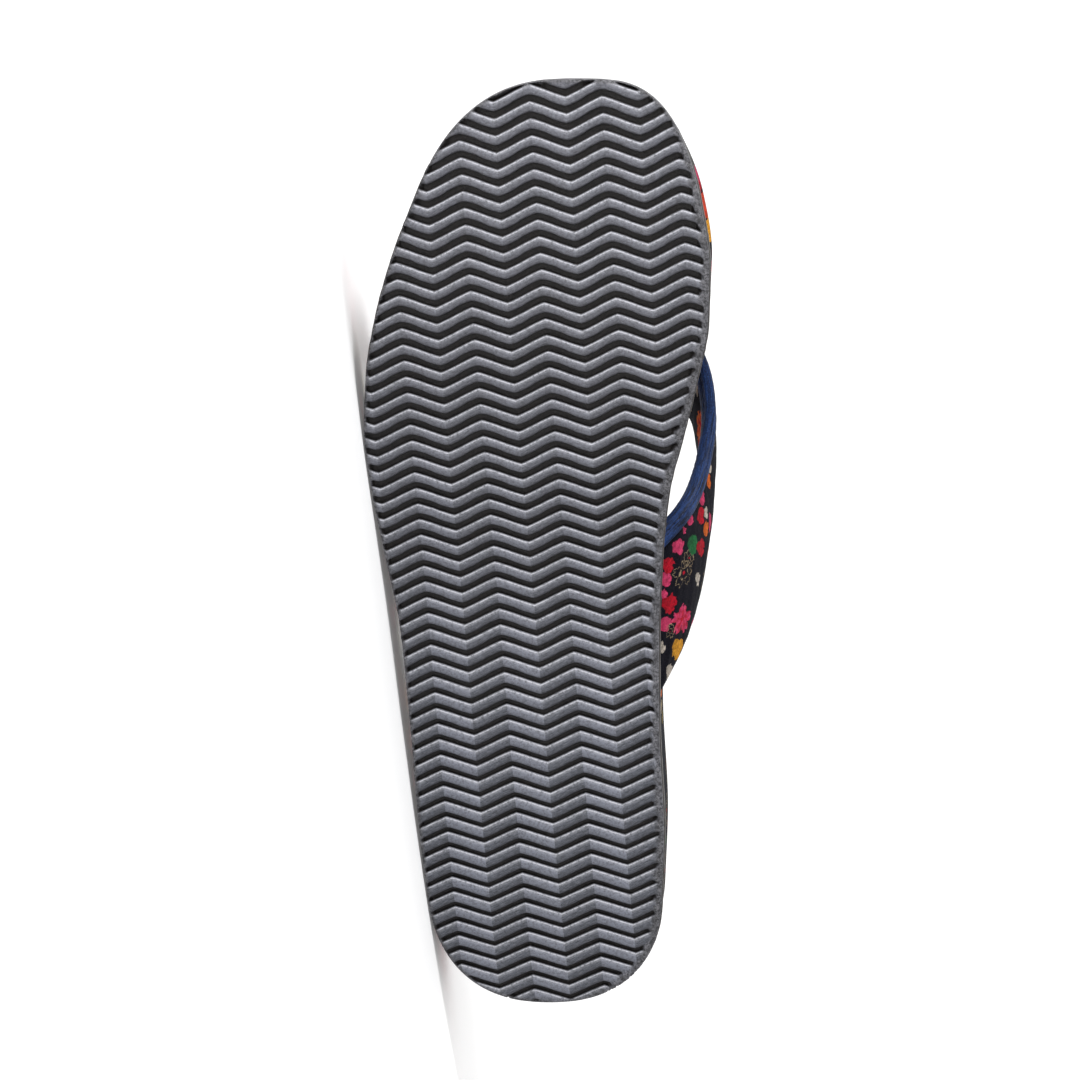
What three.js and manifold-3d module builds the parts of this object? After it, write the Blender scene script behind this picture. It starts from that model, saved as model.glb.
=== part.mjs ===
// A zori sandal, right shoe, lying on its outer side: sole edge and strap on the floor.
//
// The shoe is modelled upright and then laid down. Upright, the shoe frame is
//   +Y  from heel to toe, y = 0 at the toe tip
//   +Z  from the ground up, z = 0 at the flat spots of the outsole
//   -X  towards the inner side, where the other foot is
// "along" is the distance from the toe tip as a share of LENGTH, "inner" and "outer" are the two
// sides' distances from the shoe's middle line as shares of half the ball width.

import * as THREE from 'three';
import { mergeVertices } from 'three/addons/utils/BufferGeometryUtils.js';
import Module from 'manifold-3d';

// ---- Driving sizes, in millimetres ----

const LENGTH = 245;
const BALL_WIDTH = 90;
const INSTEP_HEIGHT = 58;          // highest edge of the strap above the ground
const OUTSOLE_THICKNESS = 7;
const RIM_BEVEL = 1.0;             // buffed lower edge of the outsole
const FOOTBED_EDGE_RADIUS = 4.5;
const STRAP_THICKNESS = 4.4;       // padded middle of the strap
const STRAP_EDGE_THICKNESS = 2.4;
const STRAP_CROWN = 0.4;           // how far the padded middle stands out past the two edges
const PIPING_RADIUS = 1.9;
const POST_RADIUS = 4.4;
const GAP = 0.3;                   // clearance between neighbouring pieces

const TOE_POST_ALONG = 0.205;
const TOE_POST_INNER = 0.178;
const TOE_POST_DEPTH = 7;          // how far the post is sunk into the footbed

const STATIONS = 60;               // cross-sections of the sole from toe to heel
const STRAP_STEPS = 64;            // cross-sections of the strap from root to root
const HALF_BALL = BALL_WIDTH / 2;

// ---- Tables ----

// Sole outline before its ends are rounded off.
const OUTLINE = [
  { along: 0.00, inner: 0.755, outer: 0.436 },
  { along: 0.06, inner: 0.827, outer: 0.573 },
  { along: 0.12, inner: 0.905, outer: 0.707 },
  { along: 0.19, inner: 0.962, outer: 0.847 },
  { along: 0.25, inner: 0.956, outer: 0.933 },
  { along: 0.31, inner: 0.896, outer: 0.984 },
  { along: 0.37, inner: 0.820, outer: 0.996 },
  { along: 0.43, inner: 0.742, outer: 0.958 },
  { along: 0.50, inner: 0.704, outer: 0.887 },
  { along: 0.58, inner: 0.690, outer: 0.802 },
  { along: 0.68, inner: 0.695, outer: 0.747 },
  { along: 0.80, inner: 0.725, outer: 0.696 },
  { along: 0.88, inner: 0.711, outer: 0.651 },
  { along: 0.94, inner: 0.698, outer: 0.616 },
  { along: 1.00, inner: 0.689, outer: 0.598 },
];

// Rounding of the two ends: a superellipse of this power over this share of the length,
// drawn about a tip that lies this far to the inner side.
const TOE_END = { reach: 0.12, power: 3.0, tip: 0.253 };
const HEEL_END = { reach: 0.12, power: 2.3, tip: 0.022 };

// Side profile, in millimetres: lift of the outsole's underside (toe spring, forefoot flat,
// arch, heel flat, heel curve) and thickness of the footbed on top of it. "lean", in degrees, is
// how far the sole's edge leans back towards the heel where the toe spring bends it up.
const PROFILE = [
  { along: 0.00, lift: 10.0, footbed: 11.0, lean: 17 },
  { along: 0.05, lift: 7.0, footbed: 11.4, lean: 13 },
  { along: 0.11, lift: 4.1, footbed: 11.9, lean: 8 },
  { along: 0.18, lift: 1.7, footbed: 12.4, lean: 3.5 },
  { along: 0.25, lift: 0.4, footbed: 12.8, lean: 1 },
  { along: 0.30, lift: 0.0, footbed: 13.1, lean: 0 },
  { along: 0.40, lift: 0.0, footbed: 14.4, lean: 0 },
  { along: 0.47, lift: 1.0, footbed: 15.6, lean: 0 },
  { along: 0.54, lift: 1.5, footbed: 17.3, lean: 0 },
  { along: 0.60, lift: 0.9, footbed: 19.3, lean: 0 },
  { along: 0.66, lift: 0.0, footbed: 21.3, lean: 0 },
  { along: 0.76, lift: 0.0, footbed: 23.0, lean: 0 },
  { along: 0.84, lift: 1.0, footbed: 23.3, lean: 0 },
  { along: 0.92, lift: 3.4, footbed: 22.8, lean: 0 },
  { along: 1.00, lift: 7.0, footbed: 22.0, lean: 0 },
];

// Footbed side, from its underside up: inset from the outsole's outline and height above the
// footbed's underside, the last three rows measured down from its top face.
const FOOTBED_RINGS = [
  { inset: 1.0, fromTop: false, height: 0.0 },
  { inset: 0.5, fromTop: false, height: 1.2 },
  { inset: 0.5, fromTop: true, height: -FOOTBED_EDGE_RADIUS },
  { inset: 0.5 + 0.29 * FOOTBED_EDGE_RADIUS, fromTop: true, height: -0.29 * FOOTBED_EDGE_RADIUS },
  { inset: 0.5 + FOOTBED_EDGE_RADIUS, fromTop: true, height: 0 },
];

const OUTSOLE_RINGS = [
  { inset: RIM_BEVEL, height: 0 },
  { inset: 0, height: 1.4 * RIM_BEVEL },
  { inset: 0, height: OUTSOLE_THICKNESS - 0.5 },
  { inset: 0.5, height: OUTSOLE_THICKNESS },
];

// The strap's front and rear edges, a row for each section from a root at the sole's edge to
// the tip over the toe post. Both wings share "along" and "rise" (share of INSTEP_HEIGHT);
// each has its own distance to the inner side, which is negative on the outer wing.
const STRAP = [
  { front: 0.499, frontRise: 0.110, rear: 0.671, rearRise: 0.110,
    innerFront: 0.620, innerRear: 0.615, outerFront: -0.740, outerRear: -0.640 },
  { front: 0.473, frontRise: 0.276, rear: 0.636, rearRise: 0.260,
    innerFront: 0.778, innerRear: 0.738, outerFront: -0.830, outerRear: -0.695 },
  { front: 0.456, frontRise: 0.460, rear: 0.592, rearRise: 0.460,
    innerFront: 0.850, innerRear: 0.845, outerFront: -0.875, outerRear: -0.760 },
  { front: 0.426, frontRise: 0.640, rear: 0.530, rearRise: 0.720,
    innerFront: 0.898, innerRear: 0.902, outerFront: -0.905, outerRear: -0.830 },
  { front: 0.386, frontRise: 0.775, rear: 0.444, rearRise: 0.925,
    innerFront: 0.918, innerRear: 0.864, outerFront: -0.910, outerRear: -0.870 },
  { front: 0.337, frontRise: 0.870, rear: 0.404, rearRise: 1.000,
    innerFront: 0.850, innerRear: 0.800, outerFront: -0.845, outerRear: -0.770 },
  { front: 0.268, frontRise: 0.820, rear: 0.352, rearRise: 0.965,
    innerFront: 0.600, innerRear: 0.570, outerFront: -0.560, outerRear: -0.480 },
  { front: 0.208, frontRise: 0.700, rear: 0.315, rearRise: 0.875,
    innerFront: 0.350, innerRear: 0.330, outerFront: -0.150, outerRear: -0.080 },
  { front: 0.172, frontRise: 0.625, rear: 0.290, rearRise: 0.810,
    innerFront: 0.178, innerRear: 0.178, outerFront: 0.178, outerRear: 0.178 },
];

// Half of the strap's section, from its front edge to its rear edge.
const STRAP_SECTION = [0, 0.06, 0.28, 0.5, 0.72, 0.94, 1];

// ---- Small tools ----

// Smooth curve through a table's column that never overshoots its rows.
function column(table, name, along) {
  const last = table.length - 1;
  const step = (i) => table[i + 1].along - table[i].along;
  const slope = (i) => (table[i + 1][name] - table[i][name]) / step(i);
  const tangent = (i) => {
    if (i === 0) return slope(0);
    if (i === last) return slope(last - 1);
    const before = slope(i - 1);
    const after = slope(i);
    return before * after <= 0 ? 0 : (2 * before * after) / (before + after);
  };
  let i = 0;
  while (i < last - 1 && along > table[i + 1].along) i += 1;
  const t = Math.min(Math.max((along - table[i].along) / step(i), 0), 1);
  const from = table[i][name];
  const to = table[i + 1][name];
  const a = tangent(i) * step(i);
  const b = tangent(i + 1) * step(i);
  return from + (to - from) * t * t * (3 - 2 * t) + a * t * (1 - t) ** 2 - b * t * t * (1 - t);
}

function geometryFrom(points, triangles) {
  const geometry = new THREE.BufferGeometry();
  geometry.setAttribute('position', new THREE.Float32BufferAttribute(points.flat(), 3));
  geometry.setIndex(triangles.flat());
  return geometry;
}

const wasm = await Module();
wasm.setup();

function solid(geometry) {
  const plain = geometry.clone();
  plain.deleteAttribute('normal');
  plain.deleteAttribute('uv');
  const merged = mergeVertices(plain, 1e-4);
  const vertProperties = new Float32Array(merged.getAttribute('position').array);
  const triVerts = new Uint32Array(merged.getIndex().array);
  return new wasm.Manifold(new wasm.Mesh({ numProp: 3, vertProperties, triVerts }));
}

function geometryOf(manifold) {
  const mesh = manifold.getMesh();
  const geometry = new THREE.BufferGeometry();
  const stride = mesh.numProp;
  const positions = [];
  for (let i = 0; i < mesh.vertProperties.length; i += stride) {
    positions.push(...mesh.vertProperties.slice(i, i + 3));
  }
  geometry.setAttribute('position', new THREE.Float32BufferAttribute(positions, 3));
  geometry.setIndex(Array.from(mesh.triVerts));
  return geometry;
}

function piece(name, geometry, color, roughness) {
  const flat = geometry.index ? geometry.toNonIndexed() : geometry;
  flat.computeVertexNormals();
  const material = new THREE.MeshStandardMaterial({ color, roughness, metalness: 0 });
  const mesh = new THREE.Mesh(flat, material);
  mesh.name = name;
  return mesh;
}

// ---- Sole ----

// Outline point at "along" on one side, +1 for inner and -1 for outer.
function outlinePoint(along, side) {
  const nearToe = along < 0.5;
  const end = nearToe ? TOE_END : HEEL_END;
  const fromEnd = nearToe ? along : 1 - along;
  const edge = side * column(OUTLINE, side > 0 ? 'inner' : 'outer', along);
  const rest = Math.max(1 - fromEnd / end.reach, 0);
  const opened = (1 - rest ** end.power) ** (1 / end.power);
  const inner = fromEnd < end.reach ? end.tip + (edge - end.tip) * opened : edge;
  return new THREE.Vector2(-inner * HALF_BALL, -along * LENGTH);
}

// Closed outline: toe tip, down the inner side to the heel tip, back up the outer side.
function outline() {
  const alongs = [];
  for (let i = 1; i < STATIONS; i += 1) {
    const even = i / STATIONS;
    const eased = (1 - Math.cos(Math.PI * even)) / 2;
    alongs.push(0.12 * even + 0.88 * eased);
  }
  alongs[0] *= 0.3;
  alongs[STATIONS - 2] = 1 - (1 - alongs[STATIONS - 2]) * 0.3;
  const inner = alongs.map((along) => outlinePoint(along, 1));
  const outer = alongs.map((along) => outlinePoint(along, -1)).reverse();
  return [outlinePoint(0, 1), ...inner, outlinePoint(1, 1), ...outer];
}

// The outline moved inwards by a distance.
function insetOutline(points, distance) {
  const count = points.length;
  return points.map((point, i) => {
    const before = points[(i + count - 1) % count];
    const after = points[(i + 1) % count];
    const tangent = after.clone().sub(before).normalize();
    return new THREE.Vector2(point.x - tangent.y * distance, point.y + tangent.x * distance);
  });
}

const alongOf = (y) => Math.min(Math.max(-y / LENGTH, 0), 1);
const undersideAt = (y) => column(PROFILE, 'lift', alongOf(y));
const footbedUnderAt = (y) => undersideAt(y) + OUTSOLE_THICKNESS + GAP;
const footbedTopAt = (y) => footbedUnderAt(y) + column(PROFILE, 'footbed', alongOf(y));

const leanBackAt = (y) => Math.tan(THREE.MathUtils.degToRad(column(PROFILE, 'lean', alongOf(y))));

// A closed slab from rings of the outline, each inset and at its own height.
function slab(rings, heightAt) {
  const base = outline();
  const count = base.length;
  const points = [];
  const triangles = [];
  rings.forEach((ring) => {
    insetOutline(base, ring.inset).forEach((p) => {
      const z = heightAt(ring, p.y);
      points.push([p.x, p.y - (z - undersideAt(p.y)) * leanBackAt(p.y), z]);
    });
  });
  for (let ring = 0; ring < rings.length - 1; ring += 1) {
    for (let i = 0; i < count; i += 1) {
      const next = (i + 1) % count;
      const a = ring * count + i;
      const b = ring * count + next;
      triangles.push([a, b, b + count], [a, b + count, a + count]);
    }
  }
  const top = (rings.length - 1) * count;
  for (let i = 0; i < count / 2; i += 1) {
    const mirror = (count - i) % count;
    const ends = [i, i + 1, (count - i - 1) % count, mirror];
    const face = ends.filter((end, k) => ends.indexOf(end) === k);
    for (let k = 1; k < face.length - 1; k += 1) {
      triangles.push([top + face[0], top + face[k], top + face[k + 1]]);
      triangles.push([face[0], face[k + 1], face[k]]);
    }
  }
  return geometryFrom(points, triangles);
}

function outsole() {
  return slab(OUTSOLE_RINGS, (ring, y) => undersideAt(y) + ring.height);
}

function footbed() {
  const heightAt = (ring, y) => ring.height + (ring.fromTop ? footbedTopAt(y) : footbedUnderAt(y));
  return slab(FOOTBED_RINGS, heightAt);
}

// ---- Strap ----

// The strap's edges as two curves that run from the inner root over the tip to the outer root.
function strapEdges() {
  const place = (along, inner, rise) =>
    new THREE.Vector3(-inner * HALF_BALL, -along * LENGTH, rise * INSTEP_HEIGHT);
  const wing = (side) => ({
    front: STRAP.map((row) => place(row.front, row[side + 'Front'], row.frontRise)),
    rear: STRAP.map((row) => place(row.rear, row[side + 'Rear'], row.rearRise)),
  });
  const inner = wing('inner');
  const outer = wing('outer');
  const join = (a, b) => new THREE.CatmullRomCurve3([...a, ...b.slice(0, -1).reverse()], false, 'centripetal');
  return { front: join(inner.front, outer.front), rear: join(inner.rear, outer.rear) };
}

// Frames across the strap: its two edges and the way out of the shoe.
function strapFrames() {
  const edges = strapEdges();
  const inside = new THREE.Vector3(0, -0.45 * LENGTH, 0.3 * INSTEP_HEIGHT);
  const frames = [];
  for (let i = 0; i <= STRAP_STEPS; i += 1) {
    const t = i / STRAP_STEPS;
    const front = edges.front.getPoint(t);
    const rear = edges.rear.getPoint(t);
    const run = edges.front.getTangent(t).add(edges.rear.getTangent(t)).normalize();
    const across = rear.clone().sub(front).normalize();
    const out = new THREE.Vector3().crossVectors(run, across).normalize();
    const middle = front.clone().add(rear).multiplyScalar(0.5);
    inside.y = middle.y;
    if (out.dot(middle.clone().sub(inside)) < 0) out.negate();
    frames.push({ front, rear, across, out });
  }
  return frames;
}

// Closed sweep of loops of points, with flat ends.
function sweep(loops) {
  const size = loops[0].length;
  const points = loops.flat().map((p) => [p.x, p.y, p.z]);
  const triangles = [];
  for (let i = 0; i < loops.length - 1; i += 1) {
    for (let k = 0; k < size; k += 1) {
      const next = (k + 1) % size;
      const a = i * size + k;
      const b = i * size + next;
      triangles.push([a, b, b + size], [a, b + size, a + size]);
    }
  }
  const last = (loops.length - 1) * size;
  for (let k = 1; k < size - 1; k += 1) {
    triangles.push([0, k + 1, k], [last, last + k, last + k + 1]);
  }
  return geometryFrom(points, triangles);
}

// One solid of both wings; "grow" makes it larger all round, for cutting its neighbours.
function strap(grow = 0) {
  const loops = strapFrames().map(({ front, rear, across, out }) => {
    const at = (share, face) => {
      const bulge = Math.sin(Math.PI * share);
      const edge = share < 0.03 || share > 0.97;
      const half = edge ? 0.25 * STRAP_EDGE_THICKNESS
        : (STRAP_EDGE_THICKNESS + (STRAP_THICKNESS - STRAP_EDGE_THICKNESS) * bulge) / 2;
      const point = front.clone().lerp(rear, share);
      point.addScaledVector(out, STRAP_CROWN * bulge + face * (half + grow));
      return point.addScaledVector(across, (2 * share - 1) * grow);
    };
    const over = STRAP_SECTION.map((share) => at(share, 1));
    const under = [...STRAP_SECTION].reverse().map((share) => at(share, -1));
    return [...over, ...under];
  });
  return sweep(loops);
}

// Cord piping along the strap's front edge.
function piping(grow = 0) {
  const sides = 8;
  const frames = strapFrames();
  const reach = PIPING_RADIUS + GAP;
  const path = frames.map(({ front, across }) => front.clone().addScaledVector(across, -reach));
  const loops = frames.map(({ across, out }, i) => {
    const loop = [];
    for (let k = 0; k < sides; k += 1) {
      const angle = (-2 * Math.PI * (k + 0.5)) / sides;
      const radius = PIPING_RADIUS + grow;
      const point = path[i].clone();
      point.addScaledVector(across, radius * Math.cos(angle));
      loop.push(point.addScaledVector(out, radius * Math.sin(angle)));
    }
    return loop;
  });
  return sweep(loops);
}

// Toe post: a padded loop between the strap's tip and the footbed.
function toePost(grow = 0) {
  const y = -TOE_POST_ALONG * LENGTH;
  const foot = footbedTopAt(y) - TOE_POST_DEPTH - grow;
  const head = 0.8 * INSTEP_HEIGHT;
  const radius = POST_RADIUS + grow;
  const post = new THREE.CylinderGeometry(radius, radius, head - foot, 20, 1);
  post.rotateX(Math.PI / 2);
  post.scale(0.8, 1, 1);
  post.translate(-TOE_POST_INNER * HALF_BALL, y, (head + foot) / 2);
  return post;
}

// ---- Joining and cutting ----

// What the outsole and its gap take away from the pieces that stand on it.
function outsoleCutter() {
  const rings = [
    { inset: -2 * GAP, height: -1 },
    { inset: -2 * GAP, height: OUTSOLE_THICKNESS + GAP },
  ];
  return slab(rings, (ring, y) => undersideAt(y) + ring.height);
}

// The lower piece of the toe post, and the footbed without the slivers left beside its cuts.
function lowestPart(manifold) {
  const foot = (part) => part.boundingBox().min[2];
  return manifold.decompose().reduce((low, part) => (foot(part) < foot(low) ? part : low));
}

function largestPart(manifold) {
  return manifold.decompose().reduce((big, part) => (part.volume() > big.volume() ? part : big));
}

const belowFootbed = solid(outsoleCutter());
const strapRoom = solid(strap(GAP));
const pipingRoom = solid(piping(GAP));
const postRoom = solid(toePost(GAP));

const strapSolid = solid(strap()).subtract(belowFootbed);
const pipingSolid = solid(piping()).subtract(belowFootbed);
const postSolid = lowestPart(solid(toePost()).subtract(strapRoom));
const footbedSolid = largestPart(solid(footbed()).subtract(strapRoom).subtract(pipingRoom).subtract(postRoom));

// ---- Laying the shoe down ----

const shoe = new THREE.Group();
shoe.add(piece('outsole', outsole(), 0x55555a, 0.75));
shoe.add(piece('footbed', geometryOf(footbedSolid), 0x1b1a2c, 0.85));
shoe.add(piece('strap', geometryOf(strapSolid), 0x1f1c33, 0.85));
shoe.add(piece('piping', geometryOf(pipingSolid), 0x28477f, 0.7));
shoe.add(piece('toe_post', geometryOf(postSolid), 0x1b1a2c, 0.85));

function furthest(points, direction) {
  return points.reduce((best, point) => (point.dot(direction) > best.dot(direction) ? point : best));
}

function pointsOf(mesh) {
  const positions = mesh.geometry.getAttribute('position');
  return Array.from({ length: positions.count }, (_, i) => new THREE.Vector3().fromBufferAttribute(positions, i));
}

// Way down to the floor when the shoe lies on its outer side: the plane that touches the sole's
// edge at the forefoot and at the heel, and the bulge of the strap.
function wayDown() {
  const [sole, bed, band, cord] = shoe.children.map(pointsOf);
  const edge = [...sole, ...bed];
  const forefoot = edge.filter((point) => alongOf(point.y) < 0.55);
  const heel = edge.filter((point) => alongOf(point.y) >= 0.55);
  const upper = [...band, ...cord];
  const down = new THREE.Vector3(1, 0, 0);
  for (let round = 0; round < 12; round += 1) {
    const first = furthest(forefoot, down);
    const toHeel = furthest(heel, down).clone().sub(first);
    const toUpper = furthest(upper, down).clone().sub(first);
    down.crossVectors(toHeel, toUpper).normalize();
    if (down.x < 0) down.negate();
  }
  return down;
}

const up = wayDown().negate();
const towardsHeel = new THREE.Vector3(0, -1, 0).projectOnPlane(up).normalize();
const behind = new THREE.Vector3().crossVectors(up, towardsHeel);
const laidDown = new THREE.Matrix4().makeBasis(towardsHeel, behind, up).transpose();

const sandal = new THREE.Group();
sandal.add(shoe);
shoe.applyMatrix4(laidDown);
sandal.updateMatrixWorld(true);
const box = new THREE.Box3().setFromObject(shoe, true);
shoe.position.set(-(box.min.x + box.max.x) / 2, -(box.min.y + box.max.y) / 2, -box.min.z);

export default sandal;
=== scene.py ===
# A zori sandal, right shoe, lying on its outer side, seen squarely from below.
#
# Pieces are made in the shoe's own frame, in millimetres, and laid down by one matrix:
#   +Y  from heel to toe, y = 0 at the toe tip
#   +Z  from the ground up, z = 0 at the flat spots of the outsole
#   -X  towards the inner side, where the other foot is

import math
from functools import partial, partialmethod

import bmesh
import bpy
import numpy as np
from mathutils import Matrix, Vector


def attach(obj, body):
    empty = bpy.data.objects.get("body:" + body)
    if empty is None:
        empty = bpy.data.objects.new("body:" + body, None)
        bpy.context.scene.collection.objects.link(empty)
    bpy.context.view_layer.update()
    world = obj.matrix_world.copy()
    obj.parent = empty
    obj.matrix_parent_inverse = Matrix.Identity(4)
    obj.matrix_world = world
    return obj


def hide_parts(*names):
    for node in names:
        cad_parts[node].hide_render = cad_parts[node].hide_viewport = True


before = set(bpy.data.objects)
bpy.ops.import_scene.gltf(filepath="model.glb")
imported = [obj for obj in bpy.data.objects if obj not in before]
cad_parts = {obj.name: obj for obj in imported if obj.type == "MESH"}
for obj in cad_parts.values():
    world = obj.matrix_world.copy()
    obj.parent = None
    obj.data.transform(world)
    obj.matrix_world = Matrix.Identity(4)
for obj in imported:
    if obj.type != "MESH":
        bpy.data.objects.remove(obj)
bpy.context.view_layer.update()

# ---- Sizes, in millimetres ----

LENGTH = 245
HALF_BALL = 45
INSTEP_HEIGHT = 58
OUTSOLE_THICKNESS = 7
GAP = 0.3
FOOTBED_EDGE_RADIUS = 4.5
STRAP_THICKNESS = 4.8
STRAP_CROWN = 0.4
TOE_POST_ALONG = 0.205
TOE_POST_INNER = 0.178
TOE_POST_HEAD = 0.660  # share of INSTEP_HEIGHT, inside the strap's tip
TOE_POST_IN_SOLE = 5
TOE_POST_HALF_WIDE = 3.5
TOE_POST_HALF_LONG = 4.4

# How the shoe lies: on the edge of its outer side, the tread nearly upright.
YAW = math.radians(7.241)  # the toe tip lies higher than the heel
LEAN = math.radians(-0.174)  # the tread leans forward from upright
TOE_TIP = Vector((-0.122288, -0.029455, 0.056247))  # the shoe frame's origin in the world


def table(names, *rows):
    """Rows of named values."""
    return [dict(zip(names.split(), row)) for row in rows]


# The sole's half widths as shares of HALF_BALL, at shares of the length from the toe.
OUTLINE = table(
    "along inner outer",
    (0.00, 0.755, 0.436), (0.06, 0.827, 0.573), (0.12, 0.905, 0.707), (0.19, 0.962, 0.847),
    (0.25, 0.956, 0.933), (0.31, 0.896, 0.984), (0.37, 0.820, 0.996), (0.43, 0.742, 0.958),
    (0.50, 0.704, 0.887), (0.58, 0.690, 0.802), (0.68, 0.695, 0.747), (0.80, 0.725, 0.696),
    (0.88, 0.711, 0.651), (0.94, 0.698, 0.616), (1.00, 0.689, 0.598))
TOE_END = {"reach": 0.12, "power": 3.0, "tip": 0.253}
HEEL_END = {"reach": 0.12, "power": 2.3, "tip": 0.022}

# Seen from the side, in mm: how high the tread is off the ground, how thick the footbed is, and
# by how many degrees the sole's edge leans back with the toe spring.
PROFILE = table(
    "along lift footbed lean",
    (0.00, 10.0, 11.0, 17), (0.05, 7.0, 11.4, 13), (0.11, 4.1, 11.9, 8), (0.18, 1.7, 12.4, 3.5),
    (0.25, 0.4, 12.8, 1), (0.30, 0.0, 13.1, 0), (0.40, 0.0, 14.4, 0), (0.47, 1.0, 15.6, 0),
    (0.54, 1.5, 17.3, 0), (0.60, 0.9, 19.3, 0), (0.66, 0.0, 21.3, 0), (0.76, 0.0, 23.0, 0),
    (0.84, 1.0, 23.3, 0), (0.92, 3.4, 22.8, 0), (1.00, 7.0, 22.0, 0))

# The strap's front and rear edges from its roots to its tip: place and height as shares of LENGTH
# and INSTEP_HEIGHT, and both edges' places on the inner and outer wing as shares of HALF_BALL.
STRAP = table(
    "front front_rise rear rear_rise inner outer",
    (0.499, 0.110, 0.671, 0.110, (0.620, 0.615), (-0.740, -0.640)),
    (0.473, 0.276, 0.636, 0.260, (0.778, 0.738), (-0.830, -0.695)),
    (0.456, 0.460, 0.592, 0.460, (0.850, 0.845), (-0.875, -0.760)),
    (0.426, 0.640, 0.530, 0.720, (0.898, 0.890), (-0.905, -0.830)),
    (0.386, 0.775, 0.444, 0.925, (0.918, 0.864), (-0.910, -0.870)),
    (0.337, 0.870, 0.404, 1.000, (0.850, 0.800), (-0.845, -0.770)),
    (0.268, 0.820, 0.352, 0.965, (0.600, 0.570), (-0.560, -0.480)),
    (0.208, 0.700, 0.315, 0.875, (0.350, 0.330), (-0.150, -0.080)),
    (0.172, 0.625, 0.290, 0.810, (0.178, 0.178), (0.178, 0.178)))

# Zigzag ribs of the tread.
RIB_PITCH = 4.185
RIB_WAVE = 18.3  # length of one zigzag across the sole
RIB_SWING = 3.75  # from its toe-side peak to its trough
RIB_TURN = math.radians(4.8)  # the sheet was cut at a slight angle
FIRST_RIB = 1.45
PEAK_COLUMN = -3.4  # where a row of peaks starts at the toe, inner side positive
GROOVE_DEPTH = 2.0
TREAD_INSET = 0.3

# One rib and groove, from the rib's sharp toe-side edge towards the heel: "at" in mm, depth and
# the pale edge as shares, the edge being partly lightly worn and partly a painted highlight, the
# rounding of the zigzag's corners in mm, and how far the line moves back at the heel, where the
# ribs are wider and less worn.
RIB_SECTION = table(
    "at depth wear corner widen",
    (-0.32, 1.00, 0.0, 0.35, -0.10), (-0.06, 0.12, 0.5, 0.25, -0.10),
    (0.10, 0.00, 1.0, 0.25, -0.10), (0.34, 0.01, 0.35, 0.30, -0.10),
    (0.95, 0.05, 0.0, 0.40, 0.10), (1.65, 0.11, 0.0, 0.65, 0.34), (2.05, 0.20, 0.0, 0.85, 0.42),
    (2.32, 0.42, 0.0, 1.00, 0.44), (2.60, 1.00, 0.0, 1.15, 0.44))


# ---- Shape tools ----

def column(rows, name, along):
    """Smooth curve through a table's column that never overshoots its rows."""
    xs = np.array([row["along"] for row in rows])
    ys = np.array([row[name] for row in rows])
    step = np.diff(xs)
    slope = np.diff(ys) / step
    tangent = np.zeros_like(ys)
    tangent[0], tangent[-1] = slope[0], slope[-1]
    product = slope[:-1] * slope[1:]
    rising = product > 0
    tangent[1:-1][rising] = 2 * product[rising] / (slope[:-1] + slope[1:])[rising]
    i = np.clip(np.searchsorted(xs, along, side="right") - 1, 0, len(step) - 1)
    t = np.clip((along - xs[i]) / step[i], 0, 1)
    a, b = tangent[i] * step[i], tangent[i + 1] * step[i]
    eased = ys[i] + (ys[i + 1] - ys[i]) * t * t * (3 - 2 * t)
    return eased + a * t * (1 - t) ** 2 - b * t * t * (1 - t)


def outline(stations=180):
    """Closed outline of the sole: toe tip, down the inner side, heel tip, up the outer side."""
    # the stations crowd towards both tips, where the outline turns fast
    evenly, closer = 0.12, 0.3
    even = np.arange(stations + 1) / stations
    along = evenly * even + (1 - evenly) * (1 - np.cos(np.pi * even)) / 2
    along[1] *= closer
    along[-2] = 1 - (1 - along[-2]) * closer
    sides = []
    for side, name in ((1, "inner"), (-1, "outer")):
        inner = side * column(OUTLINE, name, along)
        for end, from_end in ((TOE_END, along), (HEEL_END, 1 - along)):
            rest = np.clip(1 - from_end / end["reach"], 0, 1)
            opened = (1 - rest ** end["power"]) ** (1 / end["power"])
            closed = end["tip"] + (inner - end["tip"]) * opened
            inner = np.where(from_end < end["reach"], closed, inner)
        sides.append(np.column_stack([-inner * HALF_BALL, -along * LENGTH]))
    return np.vstack([sides[0], sides[1][-2:0:-1]])


def normals(loop):
    """Outward normals of the outline."""
    tangent = np.roll(loop, -1, 0) - np.roll(loop, 1, 0)
    tangent /= np.linalg.norm(tangent, axis=1)[:, None]
    return np.column_stack([tangent[:, 1], -tangent[:, 0]])


def smooth(low, high, value):
    """0 below low, 1 above high and eased between."""
    t = np.clip((value - low) / (high - low), 0, 1)
    return t * t * (3 - 2 * t)


def along_of(y):
    """Share of the length from the toe."""
    return np.clip(-y / LENGTH, 0, 1)


def underside(y):
    return column(PROFILE, "lift", along_of(y))


def leaned(flat, z):
    """Points of the sole's edge, leaning back where the toe spring bends the sole up."""
    slope = np.tan(np.radians(column(PROFILE, "lean", along_of(flat[:, 1]))))
    return np.column_stack([flat[:, 0], flat[:, 1] - (z - underside(flat[:, 1])) * slope, z])


def footbed_top(y):
    return underside(y) + OUTSOLE_THICKNESS + GAP + column(PROFILE, "footbed", along_of(y))


def waver(*phases):
    """Irregular ripple between about -1 and 1 from summed phases, the same on every run."""
    first, *rest = phases
    total = np.sin(first)
    for k, phase in enumerate(rest):
        total = total + np.sin(phase + 1.7 * (k + 1) + 0.9 * total)
    return total / len(phases)


# ---- Meshes ----

MM_IN_METRE = 1000
UV_UNIT = 100  # millimetres to one unit of UV


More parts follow.
